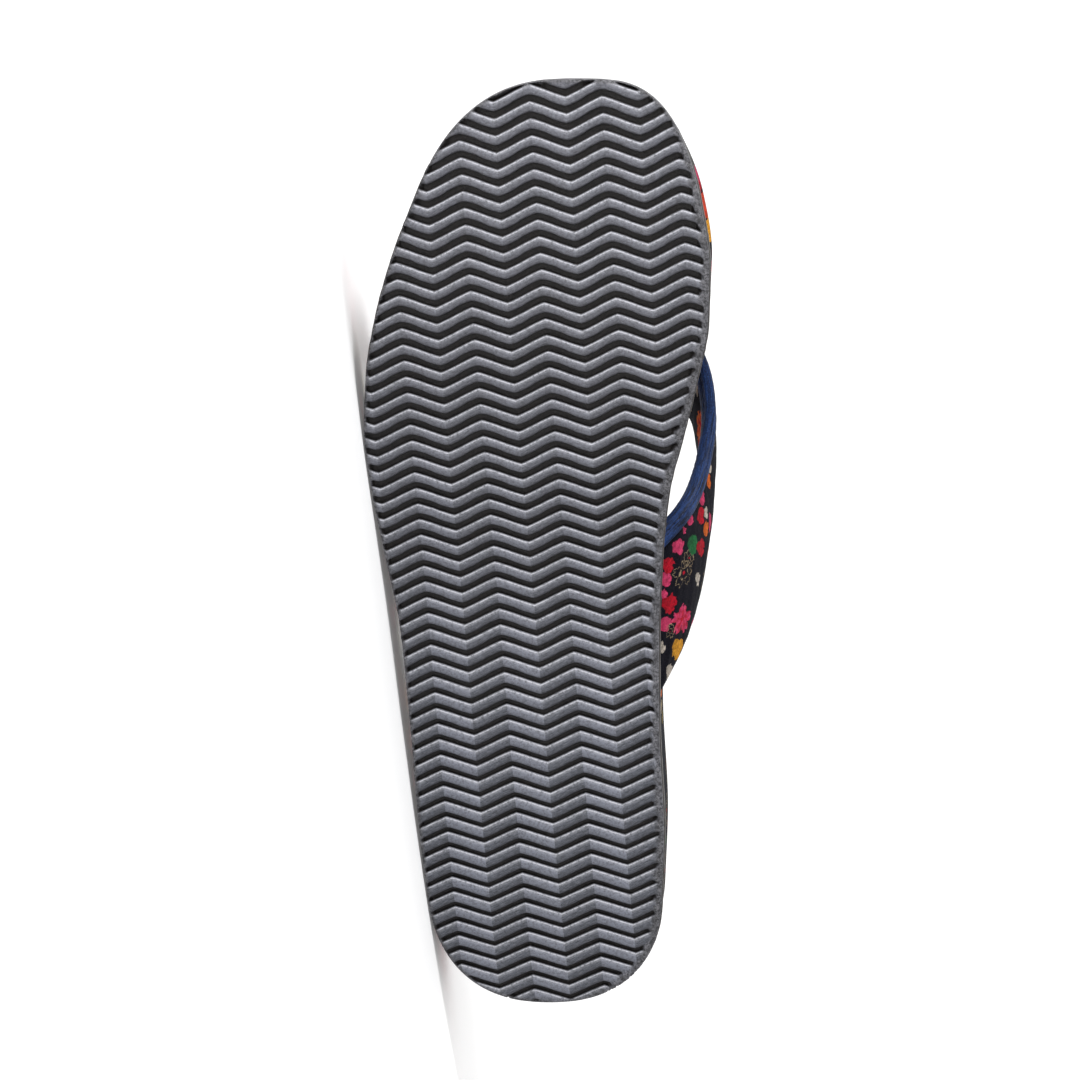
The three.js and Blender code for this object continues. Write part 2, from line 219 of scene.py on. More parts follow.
def lay_down():
    """Matrix from the shoe's frame in millimetres to the world in metres."""
    toe = Vector((-math.cos(YAW), 0, math.sin(YAW)))
    flat = Vector((-math.sin(YAW), 0, -math.cos(YAW)))
    outer = math.cos(LEAN) * flat + math.sin(LEAN) * Vector((0, 1, 0))
    above = math.cos(LEAN) * Vector((0, 1, 0)) - math.sin(LEAN) * flat
    turn = Matrix((outer, toe, above)).transposed()
    matrix = (turn * (1 / MM_IN_METRE)).to_4x4()
    matrix.translation = TOE_TIP
    return matrix


TO_WORLD = lay_down()


def put_in_scene(name, data):
    made = bpy.data.objects.new(name, data)
    bpy.context.scene.collection.objects.link(made)
    return made


def make(name, points, faces, uvs=None, colors=None, sharp=None):
    """Object from points in the shoe's frame, with a UV in mm and a colour for each point."""
    mesh = bpy.data.meshes.new(name)
    mesh.from_pydata([tuple(p) for p in points], [], [tuple(f) for f in faces])
    mesh.transform(TO_WORLD)
    corners = np.zeros(len(mesh.loops), int)
    mesh.loops.foreach_get("vertex_index", corners)
    if uvs is not None:
        layer = mesh.uv_layers.new(name="print")
        layer.data.foreach_set("uv", (np.asarray(uvs, float) / UV_UNIT)[corners].ravel())
    if colors is not None:
        layer = mesh.color_attributes.new("marks", "FLOAT_COLOR", "POINT")
        layer.data.foreach_set("color", np.asarray(colors, float).ravel())
    mesh.shade_smooth()
    if sharp:
        mesh.set_sharp_from_angle(angle=math.radians(sharp))
    return put_in_scene(name, mesh)


def strip(rows, size, start=0):
    """Quads between closed rows of points that follow each other."""
    faces = []
    for row in range(rows - 1):
        for k in range(size):
            a = start + row * size + k
            b = start + row * size + (k + 1) % size
            faces.append((a, b, b + size, a + size))
    return faces


def tube(rows, size, start=0):
    """The same quads with a face over each end."""
    first = tuple(range(start, start + size))
    return strip(rows, size, start) + [first[::-1], tuple((rows - 1) * size + k for k in first)]


# ---- Outsole ----

def nearest(points, loop):
    """Distance inside the loop, negative outside, and the nearest point on the loop."""
    best = np.full(len(points), 1e9)
    place = np.zeros_like(points)
    inside = np.zeros(len(points), bool)
    for a, b in zip(loop, np.roll(loop, -1, 0)):
        run = b - a
        t = np.clip(((points - a) @ run) / (run @ run), 0, 1)
        foot = a + t[:, None] * run
        gap = np.linalg.norm(points - foot, axis=1)
        closer = gap < best
        best[closer] = gap[closer]
        place[closer] = foot[closer]
        if a[1] != b[1]:
            crossing = (a[1] > points[:, 1]) != (b[1] > points[:, 1])
            x = a[0] + (points[:, 1] - a[1]) * run[0] / run[1]
            inside ^= crossing & (points[:, 0] < x)
    return np.where(inside, best, -best), place


def from_peak(across):
    """Distance across the sole from the nearest column of peaks."""
    waves = (across - PEAK_COLUMN) / RIB_WAVE
    return np.abs(waves - np.round(waves)) * RIB_WAVE


def zigzag(across, corner):
    """Distance of a rib's line behind its peaks, with corners rounded."""
    phase = from_peak(across)
    half = RIB_WAVE / 2
    peak = np.hypot(phase, corner) - 0.55 * corner
    trough = half - (np.hypot(half - phase, 0.7 * corner) - 0.4 * corner)
    share = smooth(0.35 * half, 0.65 * half, phase)
    return RIB_SWING * ((1 - share) * peak + share * trough) / half


POINTS_PER_WAVE = 24
FIRST_POINT, LAST_POINT = -74, 79  # along one line, counted from PEAK_COLUMN
FIRST_LINE, LAST_LINE = -3, 62  # ribs, counted from the one at FIRST_RIB
WORN_TO_NEW = (0.30, 0.80)  # shares of the length between which ribs change
NICK = {"x": 27, "y": -111}  # a bit torn from the outer rim


def tread():
    """The ribbed underside as a sheet whose lines follow the ribs, fitted to the outline."""
    loop = outline()
    edge = loop - normals(loop) * TREAD_INSET
    across = PEAK_COLUMN + np.arange(FIRST_POINT, LAST_POINT + 1) * RIB_WAVE / POINTS_PER_WAVE
    lines = [(n, row) for n in range(FIRST_LINE, LAST_LINE + 1) for row in RIB_SECTION]
    heelward = smooth(*WORN_TO_NEW, np.array([n * RIB_PITCH / LENGTH for n, row in lines]))

    def column_of(name):
        return np.array([row[name] for n, row in lines])

    at = np.array([FIRST_RIB + n * RIB_PITCH + row["at"] for n, row in lines])
    at = at + heelward * column_of("widen")
    zig = np.array([zigzag(across, row["corner"] * (1 - 0.6 * share))
                    for (n, row), share in zip(lines, heelward)])
    p = np.broadcast_to(across, zig.shape)
    q = at[:, None] + zig
    inner = p * math.cos(RIB_TURN) + q * math.sin(RIB_TURN)
    back = q * math.cos(RIB_TURN) - p * math.sin(RIB_TURN)
    flat = np.column_stack([-inner.ravel(), -back.ravel()])
    inside, foot = nearest(flat, edge)
    depth = np.broadcast_to(column_of("depth")[:, None], zig.shape).ravel()
    wear = np.broadcast_to(column_of("wear")[:, None], zig.shape).ravel()

    # the ribs stop short of a buffed rim, which is wide on the inner side only
    rough = waver(flat[:, 1] * 0.9, flat[:, 1] * 0.37, flat[:, 1] * 2.3)
    inner_side = smooth(8, 22, -flat[:, 0]) * smooth(6, 30, -flat[:, 1])
    rim = inner_side * (1.5 + 0.8 * rough) + (1 - inner_side) * (0.12 + 0.15 * rough)
    cut = smooth(0, 0.7, inside - rim)
    nick = smooth(1.3, 0.3, np.hypot(flat[:, 0] - NICK["x"], (flat[:, 1] - NICK["y"]) * 0.8))
    # the ribs' tops sink towards each trough, more so at the heel
    tilt = (0.06 + 0.50 * heelward[:, None] * from_peak(across) / (RIB_WAVE / 2)).ravel()
    sunk = depth * cut * GROOVE_DEPTH + (0.7 * nick + tilt) * (1 - depth)

    # past the outline, the first points close the ribs' ends and the next ones drop below them
    outside = inside <= 0
    grid = ~outside.reshape(zig.shape)
    touched = grid.copy()
    for shift, axis in ((1, 0), (-1, 0), (1, 1), (-1, 1)):
        touched |= np.roll(grid, shift, axis)
    beyond = ~touched.ravel()
    flat[outside] = foot[outside]
    sunk = np.maximum(sunk, 0.45 * (1 - smooth(0, 0.7, inside)))
    sunk[beyond] = GROOVE_DEPTH + 0.4
    points = np.column_stack([flat, underside(flat[:, 1]) + sunk])
    edge_mark = 1 - smooth(0.1, 1.1, inside - np.maximum(rim, 0) * 0.8)
    # marks: groove depth (the grooves get painted shade), the pale edge (lightly worn and a painted
    # highlight), and the rim
    colors = np.column_stack([depth * cut, wear * cut, edge_mark, np.ones(len(flat))])
    uvs = np.column_stack([p.ravel(), np.broadcast_to(at[:, None], zig.shape).ravel()])
    size = len(across)
    row, k = np.meshgrid(np.arange(len(lines) - 1), np.arange(size - 1), indexing="ij")
    a = (row * size + k).ravel()
    quads = np.column_stack([a, a + size, a + size + 1, a + 1])
    quads = quads[(~beyond)[quads].any(axis=1)]
    used, faces = np.unique(quads, return_inverse=True)
    return points[used], faces.reshape(quads.shape), uvs[used], colors[used]


# Outsole edge from the tread's rim up to the footbed, in mm inside the outline and off the tread.
WALL = table(
    "inset height",
    (TREAD_INSET + 0.02, GROOVE_DEPTH + 0.10), (0.10, GROOVE_DEPTH + 0.25), (0.02, 2.90),
    (0.00, 3.60), (0.03, 4.60), (0.05, 5.70), (0.15, 6.50), (0.60, 6.95), (4.00, 7.00))
WALL_GRAIN_FROM, WALL_GRAIN_TO = 0.1, 6.9  # heights between which the edge is uneven
WALL_UV = 400  # keeps the edge's texture clear of the tread's


def outsole():
    """Tread, edge and a closed top under the footbed."""
    points, faces, uvs, colors = tread()
    loop = outline(240)
    out = normals(loop)
    length = np.concatenate([[0], np.cumsum(np.linalg.norm(np.diff(loop, axis=0), axis=1))])
    wall, wall_uvs = [], []
    for ring in WALL:
        grain = 0.06 * waver(length * 1.3, length * 3.1 + ring["height"], length * 0.4)
        inset = np.full(len(loop), ring["inset"])
        if WALL_GRAIN_FROM < ring["height"] < WALL_GRAIN_TO:
            inset = inset + grain
        flat = loop - out * inset[:, None]
        wall.append(leaned(flat, underside(flat[:, 1]) + ring["height"]))
        high = np.full(len(loop), WALL_UV + ring["height"])
        wall_uvs.append(np.column_stack([length, high]))
    middle = np.column_stack([np.full(len(loop), -0.1 * HALF_BALL), 0.96 * wall[-1][:, 1] - 5])
    wall.append(np.column_stack([middle, underside(middle[:, 1]) + OUTSOLE_THICKNESS]))
    wall_uvs.append(wall_uvs[-1])
    start = len(points)
    # the edge's marks make the rubber paint it dark, partly as painted shade
    marks = np.tile((0.0, 0.0, 2.0, 1.0), (len(wall) * len(loop), 1))
    faces = [tuple(face) for face in faces] + strip(len(wall), len(loop), start)
    return make("outsole_rubber", np.vstack([points, *wall]), faces,
                np.vstack([uvs, *wall_uvs]), np.vstack([colors, marks]), sharp=48)


# ---- Footbed ----

# Hollows trodden into the top: depth, place across in mm and along as a share, half sizes.
HOLLOWS = table("depth x along half_wide half_long",
                (1.1, -2, 0.83, 20, 24), (0.9, -3, 0.27, 25, 26))
TOP_SHARES = (0.95, 0.88, 0.79, 0.68, 0.56, 0.44, 0.32, 0.2, 0.1, 0.0)  # of the way out
PUFF = {"high": 0.6, "along": 0.135, "half_long": 0.055}  # padding at the toe's inner side


def footbed():
    """Foam wedge wrapped in the print: side, rounded edge and a top trodden a little hollow."""
    loop = outline(200)
    out = normals(loop)
    radius = FOOTBED_EDGE_RADIUS
    # each ring: inset in mm, and height off the outsole or, where the third is 1, off the top
    rings = [(1.6, 0.0, 0), (0.9, 0.35, 0), (0.55, 1.1, 0), (0.4, 2.4, 0), (0.35, 4.2, 0)]
    rings += [(0.35 + 0.05 * k, -radius - 3 + k, 1) for k in range(3)]
    for k in range(7):
        angle = math.pi / 2 * k / 6
        rings.append((0.45 + radius * (1 - math.cos(angle)), -radius * (1 - math.sin(angle)), 1))
    points, uvs = [], []
    travelled = np.zeros(len(loop))
    previous = None
    from_puff = (along_of(loop[:, 1]) - PUFF["along"]) / PUFF["half_long"]
    puff = PUFF["high"] * np.exp(-from_puff ** 2) * (loop[:, 0] < 0)
    for inset, height, from_top in rings:
        flat = loop - out * (inset - puff * (inset < 0.5))[:, None]
        low = underside(flat[:, 1]) + OUTSOLE_THICKNESS + GAP
        z = height + (footbed_top(flat[:, 1]) if from_top else low)
        ring = leaned(flat, z)
        if previous is not None:
            travelled = travelled + np.linalg.norm(ring - previous, axis=1)
        previous = ring
        points.append(ring)
        uvs.append(travelled.copy())
    # the print is laid flat on the top and folded down over the edge
    total = uvs[-1]
    top_edge = points[-1]
    uvs = [-(top_edge[:, :2] + out * (total - t)[:, None]) for t in uvs]
    centre = np.column_stack([np.full(len(loop), -0.08 * HALF_BALL),
                              np.clip(top_edge[:, 1], -0.9 * LENGTH, -0.1 * LENGTH)])
    for share in TOP_SHARES:
        flat = centre + (top_edge[:, :2] - centre) * share
        hollow = sum(row["depth"] * np.exp(-((flat[:, 0] - row["x"]) / row["half_wide"]) ** 2
                                           - ((flat[:, 1] + row["along"] * LENGTH)
                                              / row["half_long"]) ** 2) for row in HOLLOWS)
        crown = 0.9 * (1 - share ** 2)
        points.append(np.column_stack([flat, footbed_top(flat[:, 1]) + crown - hollow]))
        uvs.append(-flat)
    points = np.vstack(points)
    faces = strip(len(uvs), len(loop))
    bottom = len(points)
    base = points[:len(loop)] * (0.3, 0.9, 1) + (0, -0.05 * LENGTH, 0)
    base[:, 2] = points[:len(loop), 2]
    points = np.vstack([points, base])
    faces += [(bottom + k, bottom + (k + 1) % len(loop), (k + 1) % len(loop), k)
              for k in range(len(loop))]
    piece = make("footbed_wrap", points, faces, np.vstack([*uvs, uvs[0]]))
    merged = bmesh.new()
    merged.from_mesh(piece.data)
    bmesh.ops.remove_doubles(merged, verts=merged.verts, dist=0.00001)
    merged.to_mesh(piece.data)
    merged.free()
    return piece


# ---- Strap, piping and toe post ----

def through(points, t):
    """Point at share t of a centripetal Catmull-Rom curve through the points."""
    place = t * (len(points) - 1)
    i = min(int(place), len(points) - 2)
    w = place - i
    p1, p2 = points[i], points[i + 1]
    p0 = points[i - 1] if i else 2 * p1 - p2
    p3 = points[i + 2] if i + 2 < len(points) else 2 * p2 - p1
    d0, d1, d2 = (max(np.linalg.norm(b - a) ** 0.5, 1e-4)
                  for a, b in ((p0, p1), (p1, p2), (p2, p3)))
    m1 = ((p1 - p0) / d0 - (p2 - p0) / (d0 + d1) + (p2 - p1) / d1) * d1
    m2 = ((p2 - p1) / d1 - (p3 - p1) / (d1 + d2) + (p3 - p2) / d2) * d1
    c2 = -3 * p1 + 3 * p2 - 2 * m1 - m2
    c3 = 2 * p1 - 2 * p2 + m1 + m2
    return p1 + m1 * w + c2 * w * w + c3 * w ** 3


def strap_edge(which):
    """Points of the front or rear edge, from the inner root over the tip to the outer root."""
    k = 0 if which == "front" else 1
    side = {name: [np.array((-row[name][k] * HALF_BALL, -row[which] * LENGTH,
                             row[which + "_rise"] * INSTEP_HEIGHT)) for row in STRAP]
            for name in ("inner", "outer")}
    return side["inner"] + side["outer"][-2::-1]


def strap_frames(steps):
    """The strap's edges and directions at even steps from its inner to its outer root."""
    front_edge, rear_edge = strap_edge("front"), strap_edge("rear")
    frames = []
    for t in np.linspace(0, 1, steps + 1):
        front, rear = through(front_edge, t), through(rear_edge, t)
        a, b = max(t - 0.002, 0), min(t + 0.002, 1)
        run = (through(front_edge, b) - through(front_edge, a)
               + through(rear_edge, b) - through(rear_edge, a))
        run /= np.linalg.norm(run)
        across = rear - front
        width = np.linalg.norm(across)
        across /= width
        out = np.cross(run, across)
        out /= np.linalg.norm(out)
        middle = (front + rear) / 2
        if out @ (middle - np.array((0, middle[1], 0.3 * INSTEP_HEIGHT))) < 0:
            out = -out
        frames.append({"front": front, "rear": rear, "across": across, "out": out,
                       "width": width, "middle": middle})
    travelled = 0
    for before, after in zip([None] + frames, frames):
        if before:
            travelled += np.linalg.norm(after["middle"] - before["middle"])
        after["run"] = travelled
    return frames


STRAP_FRAMES = strap_frames(300)
HALF_RUN = STRAP_FRAMES[len(STRAP_FRAMES) // 2]["run"]


PUCKER_PITCH = 4.3
LINING_UV = 120  # where the lining's print lies, clear of the outside's


def strap():
    """Both padded wings, the print on the outside and on the lining, joined over the toe post."""
    around = 40
    points, uvs = [], []
    for f in STRAP_FRAMES:
        pucker = math.sin(f["run"] * 2 * math.pi / PUCKER_PITCH + 1.3 * math.sin(f["run"] * 0.31))
        seam = math.exp(-((f["run"] - HALF_RUN) / 0.9) ** 2)
        pinch = math.exp(-((f["run"] - HALF_RUN) / 7) ** 2)
        root = math.exp(-min(f["run"], 2 * HALF_RUN - f["run"]) / 9)
        ring = []
        for k in range(around):
            angle = 2 * math.pi * k / around
            share = 0.5 - 0.5 * math.cos(angle)
            face = math.sin(angle)
            round_off = math.copysign(abs(face) ** 0.55, face)
            puff = math.sin(math.pi * share)
            half = 0.5 * STRAP_THICKNESS * (0.62 + 0.38 * puff) * (1 - 0.18 * pinch)
            lift = STRAP_CROWN * puff + half * round_off
            near_front = math.exp(-share * f["width"] / 3.2)
            near_rear = math.exp(-(1 - share) * f["width"] / 2.5)
            lift += round_off * (0.13 * pucker * near_front + 0.06 * pucker * near_rear)
            lift -= round_off * seam * 0.9
            crease = math.sin(f["run"] * 0.9 + share * 5) * math.sin(f["run"] * 0.37 + share * 2.2)
            lift += round_off * crease * (0.10 + 0.35 * root + 0.12 * pinch)
            ring.append(f["front"] + (f["rear"] - f["front"]) * share + f["out"] * lift)
            side = share * f["width"]
            uvs.append((f["run"], side if face >= 0 else LINING_UV - side))
        points.extend(ring)
    points.extend([STRAP_FRAMES[0]["middle"], STRAP_FRAMES[-1]["middle"]])
    uvs.extend([(0, 0), (2 * HALF_RUN, 0)])
    rows = len(STRAP_FRAMES)
    faces = strip(rows, around)
    last = (rows - 1) * around
    faces += [(rows * around, (k + 1) % around, k) for k in range(around)]
    faces += [(rows * around + 1, last + k, last + (k + 1) % around) for k in range(around)]
    return make("strap_padded", points, faces, uvs)


# Section of the piping, seen along the strap: a cord bead and the binding that holds it to the
# edge, with a stitched groove between. "back" is towards the strap's rear edge.
PIPING_SECTION = table(
    "back out",
    (-3.95, 0.00), (-3.85, 0.62), (-3.50, 1.15), (-3.00, 1.46), (-2.45, 1.48), (-2.05, 1.22),
    (-1.80, 0.92), (-1.62, 0.86), (-1.42, 1.00), (-1.05, 1.42), (-0.50, 1.80), (0.20, 2.05),
    (0.75, 2.10), (0.95, 1.80), (0.60, 0.60), (0.60, -0.60), (0.95, -1.70), (0.75, -1.95),
    (-0.20, -1.85), (-1.20, -1.45), (-1.65, -1.05), (-2.00, -1.15), (-2.60, -1.42),
    (-3.30, -1.20), (-3.80, -0.65))


def piping():
    """The binding round the strap's front edge, slightly rippled by its stitches."""
    points, uvs = [], []
    length = 0
    previous = None
    for f in STRAP_FRAMES:
        if previous is not None:
            length += np.linalg.norm(f["front"] - previous)
        previous = f["front"]
        reach = 0
        last = None
        for k, row in enumerate(PIPING_SECTION):
            ripple = 0.05 * math.sin(length * 2 * math.pi / 2.6 + row["back"])
            grow = 1 + ripple * (1 if abs(row["back"] + 1.7) < 1 else 0.3)
            points.append(f["front"] + f["across"] * row["back"] + f["out"] * row["out"] * grow)
            here = (row["back"], row["out"])
            reach += math.dist(here, last) if last else 0
            last = here
            uvs.append((length, reach))
    return make("piping_binding", points, tube(len(STRAP_FRAMES), len(PIPING_SECTION)), uvs)


def stitches():
    """Thread along the piping's groove, a bar for each stitch, on both faces of the strap."""
    pitch, size, margin = 2.3, 6, 3
    bar = ((-0.85, 0.05), (-0.7, 0.16), (-0.3, 0.20), (0.3, 0.20), (0.7, 0.16), (0.85, 0.05))
    frames = STRAP_FRAMES
    lengths = np.concatenate([[0], np.cumsum([np.linalg.norm(b["front"] - a["front"])
                                              for a, b in zip(frames, frames[1:])])])
    points, faces = [], []
    keys = ("front", "across", "out")

    def at(length):
        return {key: np.array([np.interp(length, lengths, [f[key][axis] for f in frames])
                               for axis in range(3)]) for key in keys}

    for n in range(int((lengths[-1] - 2 * margin) / pitch)):
        middle = margin + (n + 0.5) * pitch
        for face, rise in ((1, 0.98), (-1, 1.16)):
            start = len(points)
            for along, thick in bar:
                f = at(middle + along)
                dip = 0.16 * (abs(along) / 0.85) ** 2
                centre = f["front"] - f["across"] * 1.63 + f["out"] * face * (rise - dip)
                for k in range(size):
                    angle = 2 * math.pi * k / size
                    points.append(centre + f["across"] * thick * math.cos(angle)
                                  + f["out"] * thick * math.sin(angle))
            faces += tube(len(bar), size, start)
    return make("piping_stitches", points, faces)


def toe_post():
    """Fabric cord loop from the footbed to the strap's tip, waisted, with turned folds."""
    y = -TOE_POST_ALONG * LENGTH
    foot = float(footbed_top(np.array([y]))[0]) - TOE_POST_IN_SOLE
    head = TOE_POST_HEAD * INSTEP_HEIGHT
    rows, around = 40, 36
    points, uvs = [], []
    for row in range(rows + 1):
        t = row / rows
        z = foot + (head - foot) * t
        waist = 1 - 0.16 * math.sin(math.pi * min(max((t - 0.1) / 0.85, 0), 1))
        for k in range(around):
            angle = 2 * math.pi * k / around
            fold = 1 + 0.045 * math.cos(5 * angle + 1.6 * t) + 0.02 * math.sin(11 * angle - 3 * t)
            x = -TOE_POST_INNER * HALF_BALL + TOE_POST_HALF_WIDE * waist * fold * math.cos(angle)
            points.append((x, y + TOE_POST_HALF_LONG * waist * fold * math.sin(angle), z))
            uvs.append((angle * 4, z))
    return make("toe_post_cord", points, tube(rows + 1, around), uvs)


# ---- Materials ----

class Tree:
    """Short hand for building a node tree."""

    def __init__(self, tree):
        self.tree = tree

    def node(self, kind, inputs=(), **settings):
        """Node of a kind, with a dict of its inputs by name or number, and its settings."""
        node = self.tree.nodes.new(kind if kind.startswith("Node") else "ShaderNode" + kind)
        for key, value in settings.items():
            setattr(node, key, value)
        for key, value in dict(inputs).items():
            self.put(node.inputs[key], value)
        return node

    def put(self, socket, value):
        if isinstance(value, bpy.types.NodeSocket):
            self.tree.links.new(value, socket)
        elif value is not None:
            socket.default_value = value

    def math(self, operation, *values, clamp=False):
        return self.node("Math", enumerate(values), operation=operation,
                         use_clamp=clamp).outputs[0]

    plus = partialmethod(math, "ADD")
    minus = partialmethod(math, "SUBTRACT")
    times = partialmethod(math, "MULTIPLY")
    divided = partialmethod(math, "DIVIDE")
    absolute = partialmethod(math, "ABSOLUTE")

    def hypot(self, a, b):
        return self.math("POWER", self.plus(self.times(a, a), self.times(b, b)), 0.5)

    def vector_math(self, operation, values):
        return self.node("VectorMath", enumerate(values), operation=operation).outputs

    def vector(self, operation, *values):
        return self.vector_math(operation, values)["Vector"]

    def vector_value(self, operation, *values):
        return self.vector_math(operation, values)["Value"]

    def scale(self, vector, factor):
        return self.node("VectorMath", {0: vector, "Scale": factor},
                         operation="SCALE").outputs[0]

    def split(self, vector):
        return self.node("SeparateXYZ", {0: vector}).outputs

    def mix(self, share, a, b):
        return self.node("Mix", {"Factor": share, "A": a, "B": b},
                         data_type="RGBA").outputs["Result"]

    def ramp(self, value, stops, steps=False):
        node = self.node("ValToRGB", {"Fac": value})
        node.color_ramp.interpolation = "CONSTANT" if steps else "LINEAR"
        elements = node.color_ramp.elements
        while len(elements) < len(stops):
            elements.new(0.5)
        for element, (place, colour) in zip(elements, stops):
            element.position = place
        for element, (place, colour) in zip(elements, stops):
            element.color = colour if isinstance(colour, tuple) else (colour, colour, colour, 1)
        return node.outputs["Color"]

    def noise(self, vector, scale, detail=3, roughness=0.5):
        inputs = {"Vector": vector, "Scale": scale, "Detail": detail, "Roughness": roughness}
        return self.node("TexNoise", inputs).outputs["Fac"]

    def bands(self, vector, direction, scale, distortion):
        inputs = {"Vector": vector, "Scale": scale, "Distortion": distortion}
        return self.node("TexWave", inputs, wave_type="BANDS",
                         bands_direction=direction).outputs["Fac"]

    def bump(self, height, strength, distance, normal=None):
        inputs = {"Height": height, "Strength": strength, "Distance": distance, "Normal": normal}
        return self.node("Bump", inputs).outputs["Normal"]

    def place(self):
        """Place on the object, in metres."""
        return self.node("TexCoord").outputs["Object"]

    def chart(self):
        """Place in the UV map, in millimetres."""
        uv = self.node("UVMap", uv_map="print").outputs["UV"]
        return self.vector("MULTIPLY", uv, (UV_UNIT, UV_UNIT, 0.0))

    def finish(self, shader, colour, roughness, specular, normal):
        for name, value in (("Base Color", colour), ("Roughness", roughness),
                            ("Specular IOR Level", specular), ("Normal", normal)):
            self.put(shader[name], value)


def srgb(red, green, blue):
    """Colour from 8-bit values as they look on screen."""
    def linear(value):
        value /= 255
        return value / 12.92 if value <= 0.04045 else ((value + 0.055) / 1.055) ** 2.4
    return (linear(red), linear(green), linear(blue), 1)


def material(name):
    made = bpy.data.materials.new(name)
    made.use_nodes = True
    tree = Tree(made.node_tree)
    return made, tree, made.node_tree.nodes["Principled BSDF"].inputs


def rubber():
    """Moulded rubber: grey rib tops whose legs get painted light and shade, pale edges that are
    partly lightly worn and partly a painted highlight, grooves and edge painted dark, partly as
    painted shade, and a buffed mottled rim.
    """
    made, t, shader = material("outsole_rubber")
    marks = t.node("Attribute", attribute_name="marks")
    depth, wear, rim = t.node("SeparateColor", {0: marks.outputs["Color"]}).outputs
    place, chart = t.place(), t.chart()
    streak = t.noise(t.vector("MULTIPLY", chart, (0.6, 9.0, 1.0)), 1.0, 3, 0.6)
    cloud = t.noise(place, 60, 4, 0.6)
    blotch = t.noise(place, 420, 4, 0.65)
    grain = t.noise(place, 1500, 3, 0.7)
    fine = t.noise(place, 5200, 2, 0.6)

    # painted light and shade: legs running back towards the inner side are painted paler than the
    # others, as if they catch more light, most of all at the heel
    across, at, nothing = t.split(chart)
    waves = t.divided(t.minus(across, PEAK_COLUMN), RIB_WAVE)
    painted_lit_leg = t.math("LESS_THAN", t.math("FRACT", waves), 0.5)
    heelward = t.ramp(t.divided(at, LENGTH), [(0.25, 0.0), (0.75, 1.0)])
    dark = t.mix(heelward, srgb(88, 88, 94), srgb(61, 64, 72))
    pale = t.mix(heelward, srgb(102, 102, 109), srgb(118, 121, 133))
    top = t.mix(painted_lit_leg, dark, pale)
    top = t.scale(top, t.plus(0.72, t.times(cloud, 0.56)))
    top = t.mix(t.ramp(streak, [(0.42, 0.0), (0.68, 0.75)]), top, srgb(128, 131, 142))
    top = t.mix(t.ramp(streak, [(0.28, 0.5), (0.46, 0.0)]), top, srgb(52, 53, 58))
    top = t.mix(t.ramp(grain, [(0.35, 0.5), (0.55, 0.0)]), top, srgb(54, 54, 58))
    # pale toe-side rib edges: partly lightly worn, partly a painted highlight
    edge = t.times(wear, t.ramp(grain, [(0.35, 0.25), (0.55, 1.0)]))
    top = t.mix(edge, top, srgb(196, 197, 204))
    buffed = t.ramp(grain, [(0.40, 0.0), (0.60, 1.0)])
    buffed = t.mix(buffed, srgb(30, 29, 30), srgb(112, 111, 115))
    buffed = t.mix(t.ramp(blotch, [(0.42, 0.5), (0.56, 0.0)]), buffed, srgb(30, 27, 27))
    on_rim = t.math("MINIMUM", rim, 1.0)
    top = t.mix(t.times(on_rim, 0.85), top, buffed)
    # outsole edge painted dark brown-grey: partly the cut rubber's colour, partly painted shade
    wall = t.mix(grain, srgb(28, 25, 24), srgb(52, 46, 43))
    on_wall = t.minus(rim, 1.0, clamp=True)
    top = t.mix(on_wall, top, wall)
    # grooves painted near black: partly dark rubber, partly painted shade in the recesses
    groove = t.mix(t.ramp(grain, [(0.35, 0.0), (0.65, 1.0)]), srgb(18, 16, 16), srgb(44, 40, 39))
    sunk = t.ramp(depth, [(0.06, 0.0), (0.55, 1.0)])
    rough = t.ramp(grain, [(0.3, 0.48), (0.7, 0.66)])
    relief = t.bump(fine, 0.4, 0.00008)
    relief = t.bump(grain, 0.7, 0.00022, relief)
    relief = t.bump(blotch, t.times(on_rim, 0.6), 0.0006, relief)
    relief = t.bump(streak, 0.45, 0.00018, relief)
    t.finish(shader, t.mix(sunk, top, groove), rough, 0.42, relief)
    return made


NAVY = srgb(7, 6, 16)
WHITE = srgb(188, 178, 166)
PINK = srgb(196, 58, 98)
RED = srgb(172, 14, 34)
ORANGE = srgb(206, 98, 28)
CORAL = srgb(200, 66, 40)
YELLOW = srgb(214, 150, 40)
GREEN = srgb(30, 98, 52)
PURPLE = srgb(84, 48, 116)
OLIVE = srgb(120, 104, 52)
GOLD = srgb(150, 132, 104)
TURN = 6.28  # one turn, for a random number's angle


def blossom_group():
    """Five notched petals round a point: how far inside the outline, and the share of radius."""
    group = bpy.data.node_groups.new("blossom", "ShaderNodeTree")
    for name, way, kind in (("Offset", "INPUT", "Vector"), ("Radius", "INPUT", "Float"),
                            ("Turn", "INPUT", "Float"), ("Inside", "OUTPUT", "Float"),
                            ("Share", "OUTPUT", "Float"), ("Lobe", "OUTPUT", "Float")):
        group.interface.new_socket(name, in_out=way, socket_type="NodeSocket" + kind)
    t = Tree(group)
    given = t.node("NodeGroupInput").outputs
    x, y, nothing = t.split(given["Offset"])
    angle = t.plus(t.math("ARCTAN2", y, x), given["Turn"])
    distance = t.vector_value("LENGTH", given["Offset"])
    lobe = t.absolute(t.math("COSINE", t.times(angle, 2.5)))
    reach = t.plus(0.42, t.times(t.math("POWER", lobe, 0.55), 0.6))
    notch = t.times(t.minus(lobe, 0.955, clamp=True), 4.2)
    reach = t.times(t.minus(reach, notch), given["Radius"])
    t.node("NodeGroupOutput", {"Inside": t.minus(reach, distance),
                               "Share": t.divided(distance, given["Radius"]), "Lobe": lobe})
    return group


